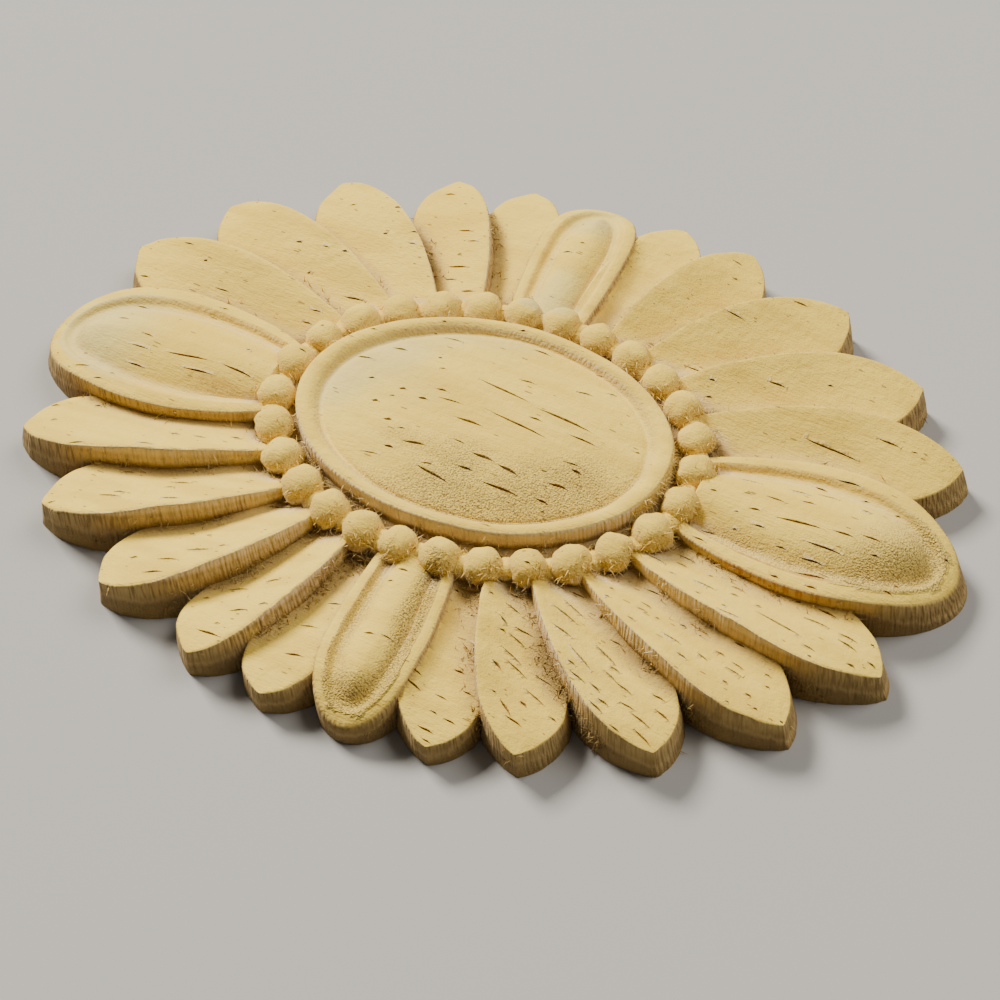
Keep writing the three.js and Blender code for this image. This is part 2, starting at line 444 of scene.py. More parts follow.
@dataclass(frozen=True)
class CarvedWood:
    """Bare pale wood as the cutter left it: cream tops, dark open pores, and walls browner partly
    by end grain and partly by painted shade.
    """

    cream: Colour = (0.89, 0.640, 0.104, 1)
    straw: Colour = (0.79, 0.545, 0.078, 1)
    # Painted cool light: the greyer tint of faces turned to the window lamp.
    painted_cool_light_colour: Colour = (0.66, 0.57, 0.24, 1)
    grey: Colour = (0.50, 0.345, 0.085, 1)
    # Wall colour: partly the walls' own end-grain tone, partly painted shade.
    wall: Colour = (0.50, 0.335, 0.135, 1)
    # Lighter painted shade for walls and hollows that lie high.
    inner_wall: Colour = (0.78, 0.615, 0.38, 1)
    # Dark brown for streaks and specks, and painted shade at wall feet and in deep hollows.
    burnt_and_shade: Colour = (0.16, 0.088, 0.034, 1)
    pore: Colour = (0.17, 0.090, 0.026, 1)
    rust: Colour = (0.36, 0.115, 0.028, 1)
    roughness: float = 0.80

    def material(self) -> bpy.types.Material:
        """Build the finish on object coordinates and the carving's own attributes."""
        made = bpy.data.materials.new("carved_wood")
        made.use_nodes = True
        w = WoodNodes(made.node_tree)
        tone, pit = self.opened_tone(w, self.wall_tone(w, self.flat_tone(w)))
        values = {"Height": self.relief(w, pit), "Strength": 1.0, "Distance": MM}
        bump = w.add("ShaderNodeBump", values)
        rough = w.ramp(w.patch, 0.3, 0.7, self.roughness - 0.05, self.roughness + 0.08)
        shader = w.add("ShaderNodeBsdfPrincipled", {
            "Base Color": tone, "Roughness": rough, "Normal": bump.outputs[0],
            "Specular IOR Level": 0.20, "Sheen Weight": 0.04, "Sheen Roughness": 0.6,
        })
        w.add("ShaderNodeOutputMaterial", {"Surface": shader.outputs[0]})
        return made

    def flat_tone(self, w: WoodNodes) -> Any:
        """Colour of the faces that look up: growth bands, fine fibres and a painted cool light on
        faces turned to the window lamp.
        """
        fibre = w.noise(w.along, (0.30, 4.5, 4.5))
        mottle = w.noise(w.place, (0.9, 0.9, 0.9))
        tone = w.mix(w.ramp(w.growth, 0.38, 0.68), self.cream, self.straw)
        tone = w.mix(w.ramp(w.patch, 0.50, 0.72, 0, 0.35), tone, self.straw)
        tone = w.mix(w.ramp(fibre, 0.30, 0.58, 0.30, 0), tone, self.straw)
        tone = w.mix(w.ramp(mottle, 0.50, 0.70, 0, 0.22), tone, self.straw)
        # Painted cool light on faces turned to the window lamp.
        return w.mix(w.math("MULTIPLY", w.mark("bleach"), 0.6), tone, self.painted_cool_light_colour)

    def wall_tone(self, w: WoodNodes, tone: Any) -> Any:
        """Colour with browner walls in upright streaks, partly painted shade; painted shade at the
        wall feet and in hollows; gritty patches whose specks also paint shade; rusty patches.

        Args:
            w: The material's nodes.
            tone: Colour of the faces that look up.

        Returns:
            The colour.
        """
        hollow, grit = w.mark("hollow"), w.mark("grit")
        streak = w.noise(w.place, (2.3, 2.3, 0.05))
        fleck = w.noise(w.place, (4.0, 4.0, 3.0))
        height = w.add("ShaderNodeSeparateXYZ", {0: w.place}).outputs[2]
        side = w.mix(w.ramp(streak, 0.36, 0.55, 0.2, 1.0), self.burnt_and_shade, self.wall)
        side = w.mix(w.ramp(w.patch, 0.40, 0.62, 0.0, 0.5), side, self.wall)
        # Painted shade: walls darker towards their feet and lighter near the top.
        side = w.mix(w.ramp(height, 6.5, 2.0, 0, 0.88), side, self.burnt_and_shade)
        side = w.mix(w.ramp(height, 7.4, 8.6, 0, 0.8), side, self.inner_wall)
        # Painted shade for the hollows, lighter where they lie high.
        foot = w.mix(w.ramp(height, 5.8, 7.6), self.wall, self.inner_wall)
        # Steep faces take the wall colour, partly painted shade. Hollows take painted shade, the
        # deepest a painted shadow. Grit specks are partly painted shade. Rust stains.
        for share, colour in (
            (w.math("MULTIPLY", w.mark("steep"), 0.90), side),
            (w.ramp(hollow, 0.12, 0.62, 0, 0.68), foot),
            (w.ramp(hollow, 0.50, 0.90, 0, 0.65), self.burnt_and_shade),
            (w.math("MULTIPLY", grit, w.ramp(fleck, 0.62, 0.42, 0.2, 0.85)), self.grey),
            (w.math("MULTIPLY", grit, w.ramp(fleck, 0.43, 0.35, 0, 0.65)), self.burnt_and_shade),
            (w.math("MULTIPLY", w.mark("rusty"), w.ramp(streak, 0.3, 0.6, 0.9, 0.35)), self.rust),
        ):
            tone = w.mix(share, tone, colour)
        return tone

    def opened_tone(self, w: WoodNodes, tone: Any) -> tuple[Any, Any]:
        """Colour with the open pores, both those cut as shapes and the finest ones.

        Args:
            w: The material's nodes.
            tone: Colour of the closed wood.

        Returns:
            The colour, and how deep the finest pores are from 0 to 1.
        """
        level = w.math("SUBTRACT", 1.0, w.math("MULTIPLY", w.mark("steep"), 0.85))
        pit = w.math("MULTIPLY", self.slits(w), level)
        stain = w.mix(w.ramp(w.patch, 0.56, 0.66, 0, 0.45), self.pore, self.rust)
        tone = w.mix(w.math("MULTIPLY", pit, 0.62), tone, stain)
        return w.mix(w.ramp(w.mark("cut"), 0.45, 0.85, 0, 0.92), tone, stain), pit

    def slits(self, w: WoodNodes) -> Any:
        """Depth from 0 to 1 of small slits along the grain, dots where the grain ends."""
        cells = w.vector("MULTIPLY", w.along, (0.26, 1.9, 1.9))
        found = w.add("ShaderNodeTexVoronoi", {"Vector": cells, "Scale": 1.0})
        chosen = w.add("ShaderNodeSeparateColor", {0: found.outputs["Color"]})
        reach = w.math("MULTIPLY_ADD", chosen.outputs[1], 0.16, 0.08)
        inside = w.math("SUBTRACT", reach, found.outputs["Distance"])
        return w.math("MULTIPLY", w.ramp(chosen.outputs[0], 0.78, 0.84), w.ramp(inside, 0.0, 0.07))

    def relief(self, w: WoodNodes, pit: Any) -> Any:
        """Height of the finest relief.

        Args:
            w: The material's nodes.
            pit: How deep the finest pores are.

        Returns:
            The height in millimetres.
        """
        grain = w.math("MULTIPLY", w.noise(w.place, (3.3, 3.3, 3.3)), w.mark("grit"))
        rib = w.math("MULTIPLY", w.noise(w.place, (2.4, 2.4, 0.04), 0.0), w.mark("steep"))
        nap = w.noise(w.place, (4.2, 4.2, 4.2), 0.0)
        dent = w.noise(w.place, (0.75, 0.75, 0.75))
        height = w.math("MULTIPLY", w.noise(w.along, (0.45, 3.0, 3.0)), 0.09)
        for value, reach in ((w.growth, 0.10), (nap, 0.05), (dent, 0.14), (grain, 0.42),
                             (rib, 0.42), (pit, -0.20)):
            height = w.math("MULTIPLY_ADD", value, reach, height)
        return height


@dataclass(frozen=True)
class PalePaper:
    """The plain pale ground that the carving lies on."""

    colour: Colour = (0.42, 0.412, 0.40, 1)

    def material(self) -> bpy.types.Material:
        """Build the finish of the floor."""
        made = bpy.data.materials.new("pale_paper")
        made.use_nodes = True
        w = Wiring(made.node_tree)
        values = {"Base Color": self.colour, "Roughness": 0.9, "Specular IOR Level": 0.2}
        shader = w.add("ShaderNodeBsdfPrincipled", values)
        w.add("ShaderNodeOutputMaterial", {"Surface": shader.outputs[0]})
        return made


@dataclass(frozen=True)
class Spoon:
    """A round-ended petal: a flat band, a groove inside it and a long low crown."""

    start: float
    end: float
    width: float
    rim_top: float
    band: float
    widest: float
    root_share: float
    roundness: float
    stretch: float
    around: int
    rim_drop: float = 4.2
    groove_width: float = 2.2
    groove_depth: float = 1.05
    crown: float = 1.5
    root_hold: float = 0.85
    edge: float = 0.9
    edge_round: float = 0.45
    row_step: float = 0.6

    def half_breadth(self, x: Array) -> Array:
        """Half the breadth of the petal at a distance from the middle of the rosette."""
        u = np.clip((x - self.start) / (self.end - self.start), 0, 1)
        return breadth_share(u, self.root_share, self.widest, self.roundness, 0.5) * self.width / 2

    def outline(self, inset: float) -> Array:
        """Ring of plan points of the petal's outline, drawn in by an inset.

        Args:
            inset: Distance inside the true outline.

        Returns:
            One plan point for each step round the petal, from its root.
        """
        turn = np.linspace(0, 2 * np.pi, self.around, endpoint=False)
        u = (1 - np.cos(turn)) / 2
        share = breadth_share(u, self.root_share, self.widest, self.roundness, 0.5)
        side = np.where(turn < 1e-9, 0.0, np.sign(np.pi - turn))
        drawn = inset * (1 - self.root_hold)
        x = self.start + drawn + (self.end - self.start - inset - drawn) * u
        return np.stack([x, side * share * (self.width / 2 - inset)], axis=1)

    def top(self, x: Array) -> Array:
        """Height of the band, which falls off towards the tip."""
        middle = (self.start + self.end) / 2
        toward = np.clip((x - middle) / (self.end - middle), 0, 1)
        return self.rim_top - self.rim_drop * toward ** 3

    def lift(self, inset: float) -> float:
        """Height over the band at an inset: level, down the groove, then up the crown."""
        inner = self.band + self.groove_width
        if inset <= self.band:
            return -0.30 * (1 - inset / self.band) ** 2
        if inset < inner:
            share = (inset - self.band) / self.groove_width
            return -self.groove_depth * math.sin(math.pi / 2 * min(1.0, share * 1.5)) ** 1.5
        share = (inset - inner) / (self.width / 2 - inner)
        return (self.crown + self.groove_depth) * (1 - (1 - share) ** 2.2) - self.groove_depth

    def body(self) -> Body:
        """The petal, lying along +X with its flat back on the ground."""
        rings = []
        for share in np.linspace(0, 1, 6):
            plan = self.outline(0.0)
            height = (self.top(plan[:, 0]) - self.edge) * share
            stretched = plan * np.array([1 + (self.stretch - 1) * (1 - share), 1.0])
            rings.append(np.column_stack([stretched, height]))
        inner, half = self.band + self.groove_width, self.width / 2
        rows = round((half - inner) / self.row_step)
        for inset in (0.06, 0.20, self.edge_round,
                      *np.linspace(self.edge_round, self.band - 0.15, 4)[1:],
                      *np.linspace(self.band, inner, 8), *np.linspace(inner, half - 0.5, rows)[1:]):
            plan = self.outline(inset)
            edge = -0.35 * max(0.0, 1 - inset / self.edge_round) ** 2
            rings.append(np.column_stack([plan, self.top(plan[:, 0]) + self.lift(inset) + edge]))
        return lofted(np.array(rings))


@dataclass(frozen=True)
class Wear:
    """How one side of the rosette is worn: round tips and edges, and coves at the wall feet."""

    tip_round: float
    edge_round: float
    cove_width: float
    cove_height: float


LEFT_WEAR = Wear(2.4, 0.65, 1.2, 0.35)
RIGHT_WEAR = Wear(1.1, 0.40, 2.3, 0.85)


@dataclass(frozen=True)
class PointedPetal:
    """A pointed petal whose top slopes from its high side down under the next petal's wall."""

    tip: float
    root: float
    low: float
    high: float
    spine: float
    tilt: float
    end: float
    root_share: float = 0.55
    tip_width: float = 0.5
    along: int = 96
    across: int = 15
    wall_rows: int = 4

    def line(self) -> tuple[Array, Array, Array]:
        """Root point, way to the tip and unit way to the high side, in plan."""
        root = oval_point(RING_LENGTH, RING_WIDTH, self.root)
        axis = oval_point(TOP_LENGTH, WIDTH, self.tip) - root
        return root, axis, np.array([-axis[1], axis[0]]) / np.hypot(*axis)

    def bulge(self, u: Array, widest: float, hold: float, tip_round: float) -> Array:
        """Share of the bulge of one side along the petal, closing with a round end.

        Args:
            u: Share of the length, 0 at the root.
            widest: Where the side bulges most.
            hold: How long it stays wide.
            tip_round: Length of the round end.

        Returns:
            The share at each u.
        """
        length = np.hypot(*self.line()[1])
        cut = length / (length + 0.55 * tip_round)
        open_ = 1 - np.clip((1 - u) * length / tip_round, 0, 1)
        return breadth_share(u * cut, self.root_share, widest, hold, 1) * np.sqrt(1 - open_ ** 2)

    def low_edge(self, u: Array, tip_round: float) -> Array:
        """How far the low side bulges from the line root to tip."""
        return np.maximum(self.tip_width / 4, self.low * self.bulge(u, 0.6, 3.5, tip_round))

    def high_edge(self, u: Array, down: Array | float, tip_round: float = 1.1) -> Array:
        """How far the high side bulges, a share down from the top edge to the back."""
        toward = np.clip(2 * u - 1, 0, 1)
        lean = SIDE_LEAN * (1 - toward ** 2) * down ** 1.25
        return np.maximum(self.tip_width / 4, self.high * self.bulge(u, 0.5, 3, tip_round) + lean)

    def top(self, u: Array, side: Array) -> Array:
        """Height of the top at a share of the length and a distance from the line."""
        toward = np.clip(2 * u - 1, 0, 1)
        spine = self.spine - (self.spine - self.end) * toward ** 4
        return spine + side * self.tilt * (1 - 0.55 * np.sin(toward * np.pi / 2))

    def gap_to(self, plan: Array) -> Array:
        """Distance from plan points to this petal's wall foot, below zero inside the petal."""
        root, axis, across = self.line()
        away = plan - root
        u = np.clip(away @ axis / (axis @ axis), 0, 1)
        return away @ across - self.high_edge(u, 0.5)

    def sections(self) -> list[tuple[str, float]]:
        """Columns of the petal's cross-section, round from the low side's foot."""
        rounding = (0.15, 0.5, 1.0)
        columns = [("low", s) for s in np.linspace(0, 1, 3)]
        columns += [("low_edge", s) for s in rounding]
        columns += [("top", s) for s in np.linspace(0, 1, self.across)[1:-1]]
        columns += [("high_edge", s) for s in rounding[::-1]]
        return columns + [("high", s) for s in np.linspace(0, 1, self.wall_rows)[::-1]]

    def column(self, kind: str, share: float, u: Array, wear: Wear) -> tuple[Array, Array]:
        """One column of the cross-section along the whole petal.

        Args:
            kind: Which part of the cross-section.
            share: Where in that part, from 0 to 1.
            u: Shares of the petal's length.
            wear: How its tip and edges are rounded.

        Returns:
            Distance to the side of the line and height, at each share of the length.
        """
        low, high = self.low_edge(u, wear.tip_round), self.high_edge(u, 0.0, wear.tip_round)
        edge = np.minimum(wear.edge_round, 0.45 * np.minimum(low, high))
        if kind == "low":
            return -low, (self.top(u, -low) - edge * 0.95) * share
        if kind == "high":
            side = self.high_edge(u, 1 - share, wear.tip_round)
            return side, (self.top(u, high) - edge * 0.95) * share
        if kind == "top":
            side = -low + edge + (low + high - 2 * edge) * share
            return side, self.top(u, side)
        side = -low + edge * share if kind == "low_edge" else high - edge * share
        return side, self.top(u, side) - edge * (1 - np.sqrt(share * (2 - share)))

    def body(self, covers: Sequence[Callable[[Array], Array]], wear: Wear) -> Body:
        """Build the petal of the first quarter.

        Args:
            covers: Functions that give the distance to the wall foot of each body that
                stands over this petal.
            wear: How its tip and edges are rounded and how wide the coves are.

        Returns:
            The petal, with a cove along each wall foot that stands on it.
        """
        root, axis, across = self.line()
        k = np.linspace(0, 1, self.along)
        u = 0.7 * np.sin(k * np.pi / 2) + 0.3 * k
        columns = []
        for kind, share in self.sections():
            side, height = self.column(kind, share, u, wear)
            down = 1 - share if kind in ("low", "high") else 0.0
            plan = root + np.outer(u, axis) + np.outer(side, across)
            if kind in ("top", "low_edge"):
                for cover in covers:
                    reach = np.clip(1 - cover(plan) / wear.cove_width, 0, 1.25) ** 1.35
                    height = height + wear.cove_height * (1 - u ** 5) * reach
            plan = plan * np.array([1 + (BACK_STRETCH - 1) * down, 1.0])
            here = np.column_stack([plan, height])
            if kind in ("low", "high"):
                here[:, :2] += np.outer(self.rib(here), across)
            columns.append(here)
        return lofted(np.array(columns).transpose(1, 0, 2))

    def rib(self, here: Array) -> Array:
        """How far the upright ribs that the cutter leaves push places of a wall out."""
        strength = 0.5 + 0.5 * lattice_noise(here, (22.0, 22.0, 40.0), 52)
        return lattice_noise(here, (0.95, 0.95, 30.0), 51) * (0.04 + 0.06 * strength)


@dataclass(frozen=True)
class Boss:
    """The raised middle: an outer wall, a rounded rim, a groove and a shallow dome."""

    length: float = 60.0
    width: float = 40.4
    rim_top: float = 11.4
    rim_share: float = 0.925
    dome_share: float = 0.862
    floor: float = 10.05
    dome_drop: float = 1.75
    around: int = 184

    def section(self) -> list[tuple[float, float]]:
        """Share of the half length and height of each ring, from the foot of the wall in."""
        top, lip = self.rim_top, self.rim_top - 0.16
        rows = [(1.0, h) for h in np.linspace(0, top - 0.9, 6)]
        rows += [(0.998, top - 0.55), (0.991, top - 0.22), (0.980, top - 0.06), (0.965, top)]
        rows += [(0.948, top - 0.01), (0.936, top - 0.05), (self.rim_share, lip)]
        for share in (0.2, 0.45, 0.7, 0.9):
            at = self.rim_share - share * (self.rim_share - self.dome_share - 0.008)
            fall = 0.35 * share + 0.65 * (0.5 - 0.5 * math.cos(math.pi * share))
            rows.append((at, lip - (lip - self.floor) * fall))
        rows.append((self.dome_share + 0.004, self.floor - 0.02))
        rows.append((self.dome_share - 0.004, self.floor))
        for share in np.linspace(self.dome_share - 0.014, 0.02, 23):
            fall = (share / self.dome_share) ** 2.8
            rows.append((share, THICKNESS - 0.12 - (self.dome_drop - 0.1) * fall))
        return rows

    def body(self) -> Body:
        """The boss, standing on the back of the carving."""
        return oval_stack(self.length, self.width, self.around, self.section())


@dataclass(frozen=True)
class Ground:
    """The sunk ring of ground under the beads, as high as the trough round the boss."""

    height: float = 6.3
    inner_height: float = 7.7
    bead_diameter: float = 6.5
    around: int = 180

    def body(self) -> Body:
        """The ground, a low oval plate that rises towards the boss."""
        rows = [(1.0, 0.0), (1.0, 2.0), (1.0, 4.2)]
        for share in np.linspace(1.0, 0.74, 14):
            rise = (self.inner_height - self.height) * smoothstep(0.96, 0.88, np.array(share))
            rows.append((share, self.height + float(rise)))
        length, width = RING_LENGTH + self.bead_diameter, RING_WIDTH + self.bead_diameter
        return oval_stack(length, width, self.around, rows)


@dataclass(frozen=True)
class BeadRing:
    """The ring of beads, each a ball with a slightly squared top, and the webs between them."""

    count: int = 28
    diameter: float = 5.9
    top: float = 11.0
    web_diameter: float = 3.9
    web_top: float = 9.2
    around: int = 24
    web_around: int = 14
    unevenness: float = 0.50

    def uneven(self, points: Array) -> Array:
        """Beads pushed in and out as a coarse cutter leaves them, more towards their feet."""
        low = smoothstep(self.top, self.top - 3.4, points[:, 2])
        push = np.stack([lattice_noise(points, 1.25, 91 + axis) for axis in range(3)], axis=1)
        reach = self.unevenness * (0.35 + 0.65 * low)
        return points + push * reach[:, None] * np.array([1, 1, 0.6])

    def ball(self, diameter: float, squareness: float, around: int) -> Body:
        """One bead about its own middle.

        Args:
            diameter: How wide it is.
            squareness: 0 for a ball, more for a bead with flatter sides and top.
            around: Points round it.

        Returns:
            The bead as a closed body.
        """
        turn = np.linspace(0, 2 * np.pi, around, endpoint=False)
        rings = []
        for tilt in np.linspace(0.12, np.pi - 0.12, around // 2 + 1):
            ways = np.column_stack([np.sin(tilt) * np.cos(turn), np.sin(tilt) * np.sin(turn),
                                    np.full_like(turn, -np.cos(tilt))])
            size = np.sum(np.abs(ways) ** (2 + squareness), axis=1) ** (-1 / (2 + squareness))
            rings.append(ways * size[:, None] * diameter / 2)
        return lofted(np.array(rings))

    def tree(self, material: bpy.types.Material) -> ShapeTree:
        """Geometry nodes that set copies of a bead at equal steps along an oval."""
        tree = ShapeTree("bead_ring", Ring_Length="Float", Ring_Width="Float", Height="Float",
                         Count="Int", First_Step="Float", Step="Float", Spread="Float", Seed="Int")
        g = tree.given
        circle = tree.add("GeometryNodeCurvePrimitiveCircle", {"Resolution": 720, "Radius": 0.5})
        size = tree.add("ShaderNodeCombineXYZ", {0: g["Ring Length"], 1: g["Ring Width"], 2: 1.0})
        values = {"Geometry": circle.outputs[0], "Scale": size.outputs[0]}
        oval = tree.add("GeometryNodeTransform", values)
        index = tree.add("GeometryNodeInputIndex").outputs[0]
        factor = tree.math("MULTIPLY_ADD", index, g["Step"], g["First Step"])
        at = tree.add("GeometryNodeSampleCurve", {"Curves": oval.outputs[0], "Factor": factor})
        rise = tree.add("ShaderNodeCombineXYZ", {2: g["Height"]})
        spot = tree.vector("ADD", at.outputs["Position"], rise.outputs[0])
        points = tree.add("GeometryNodePoints", {"Count": g["Count"], "Position": spot})
        turn = tree.chance((-0.2, -0.2, -3.1), (0.2, 0.2, 3.1), g["Seed"], "FLOAT_VECTOR")
        low, high = (tree.math(way, 1.0, g["Spread"]) for way in ("SUBTRACT", "ADD"))
        grow = tree.chance(low, high, g["Seed"])
        tree.close(tree.copies(points.outputs[0], g["Geometry"], turn, grow), material)
        return tree

    def bodies(self, material: bpy.types.Material) -> list[bpy.types.Object]:
        """Every second bead, the beads between those, and the webs.

        Args:
            material: The finish that the beads carry.

        Returns:
            Three objects, each of bodies that don't touch each other.
        """
        tree, step, half = self.tree(material), 1 / self.count, self.count // 2
        bead = (self.diameter, 0.4, self.around, self.top)
        web = (self.web_diameter, 0.2, self.web_around, self.web_top)
        made = []
        for seed, (name, (size, square, around, top), count, first, stride, spread) in enumerate((
            ("beads_even", bead, half, step / 2, 2 * step, 0.03),
            ("beads_odd", bead, half, step * 1.5, 2 * step, 0.03),
            ("bead_webs", web, self.count, 0.0, step, 0.08),
        )):
            carrier = mesh_object(name, self.ball(size, square, around))
            mesh = tree.bake(carrier, {
                "Ring Length": RING_LENGTH * MM, "Ring Width": RING_WIDTH * MM,
                "Height": (top - size / 2) * MM, "Count": count, "First Step": first,
                "Step": stride, "Spread": spread, "Seed": seed,
            })
            moved = self.uneven(handled(places_of(mesh) / MM)) * MM
            mesh.vertices.foreach_set("co", moved.ravel())
            carrier.data = mesh
            made.append(carrier)
        return made


@dataclass(frozen=True)
class Pore:
    """One open pore that shows from a step away: its two ends in plan and its width."""

    x0: float
    y0: float
    x1: float
    y1: float
    width: float = 0.45

    @property
    def turn(self) -> float:
        """Angle of the pore in plan, in radians."""
        return math.atan2(self.y1 - self.y0, self.x1 - self.x0)

    @property
    def reach(self) -> float:
        """Length of the pore."""
        return math.hypot(self.x1 - self.x0, self.y1 - self.y0)

    @property
    def middle(self) -> tuple[float, float]:
        """Middle of the pore in plan."""
        return (self.x0 + self.x1) / 2, (self.y0 + self.y1) / 2


# Ends of the pores that stand where they can be seen, and the widths of those not 0.45 wide.
LONG_PORES = (
    (-3.5, 7.4, 6, 5.4), (6.2, 5, 17.6, 3.2, 0.55), (-0.3, 2.1, 12.4, -0.7),
    (13.2, 1.8, 18.3, 1.2, 0.4), (-4.1, -0.9, 0.8, -1.3, 0.55), (1.1, -6.4, 5, -7, 0.7),
    (5.6, -7.2, 9.5, -8.3, 0.7), (4.1, -10.8, 11.4, -11.6, 0.6), (-6, -11.1, 0.1, -12.8, 0.6),
    (-9.8, -7.7, -5.8, -7.5, 0.6), (-0.2, -9.3, 2.8, -9.6, 0.5), (13.8, -7.7, 17.1, -7.8, 0.65),
    (16.2, -4.1, 18.1, -4.6, 0.6), (13.1, -10.8, 15.5, -11.3, 0.5), (6.6, 2.8, 8.9, 2.5),
    (43.1, -1.1, 44.9, -1.1), (46.2, -1.4, 54.7, -1.3, 0.5), (55.9, -1, 59.4, -1.2),
    (59.9, -0.3, 63.4, -0.6, 0.4), (52.2, -3.7, 59, -4.4, 0.5), (52.5, -6.1, 56.4, -6.4, 0.5),
    (52.4, -8.4, 57.6, -8, 0.55), (59.7, -7.3, 64.1, -7.7, 0.5), (42.4, -5.6, 45.6, -6.1),
    (47.4, 4.9, 50.5, 4.8, 0.35), (51.6, 5.7, 54.8, 5.9, 0.35), (49.8, -17.2, 57.4, -19),
    (46.6, -18.4, 51.5, -19.6, 0.4), (62.1, -16.9, 65.3, -17.8, 0.5),
    (64.6, -20.6, 66, -20.9, 0.6), (67.1, -18.7, 68.6, -19.2), (38.4, -25.5, 41.7, -26.3, 0.4),
    (44.3, -26.7, 46.2, -27.5, 0.4), (10.8, -29.9, 13.8, -31.1), (15.3, -30.2, 17, -31.3),
    (13.3, -36.3, 16.7, -38, 0.5), (17.4, -38.2, 19.2, -39, 0.65),
    (20.7, -43.6, 23.2, -45.4, 0.55), (23.4, -42.4, 24.6, -43, 0.6), (21.9, -26.5, 26.4, -27.6),
    (30.1, -30.1, 34, -32), (26.9, -32.4, 31.6, -35.1, 0.5), (32, -37.3, 34, -38.2, 0.5),
    (33.9, -39.3, 35.9, -39.8, 0.5), (32.9, -33.9, 35.2, -35.1, 0.4), (-53, -2.3, -44.8, -1.8),
    (-43.6, -1.6, -37.5, -2.6, 0.5), (-49.6, -4, -43.5, -3.9), (-36.7, -37.7, -33.3, -37.5),
    (-33.3, -34.8, -29.3, -34.4, 0.4), (-26.3, -46.7, -21.6, -47.5, 0.5),
    (-22.7, -42.4, -19.9, -42), (-50.7, -29.7, -47.3, -29.4, 0.4), (6.5, -44.8, 9.4, -45.5),
    (46, 16.2, 55, 15), (50, 12.6, 58.5, 12, 0.4), (-14.5, 1.8, -13.2, 1.8, 0.6),
    (-17.6, -1.6, -16.4, -1.6, 0.6), (-14.2, -4.6, -12.8, -4.6, 0.65), (-20, 2.6, -18.9, 2.6, 0.5),
    (-10.9, 0.9, -9.2, 0.8, 0.55), (-12.2, -9.2, -10.4, -9.4, 0.55), (-8.9, 3.4, -7, 3.3),
)


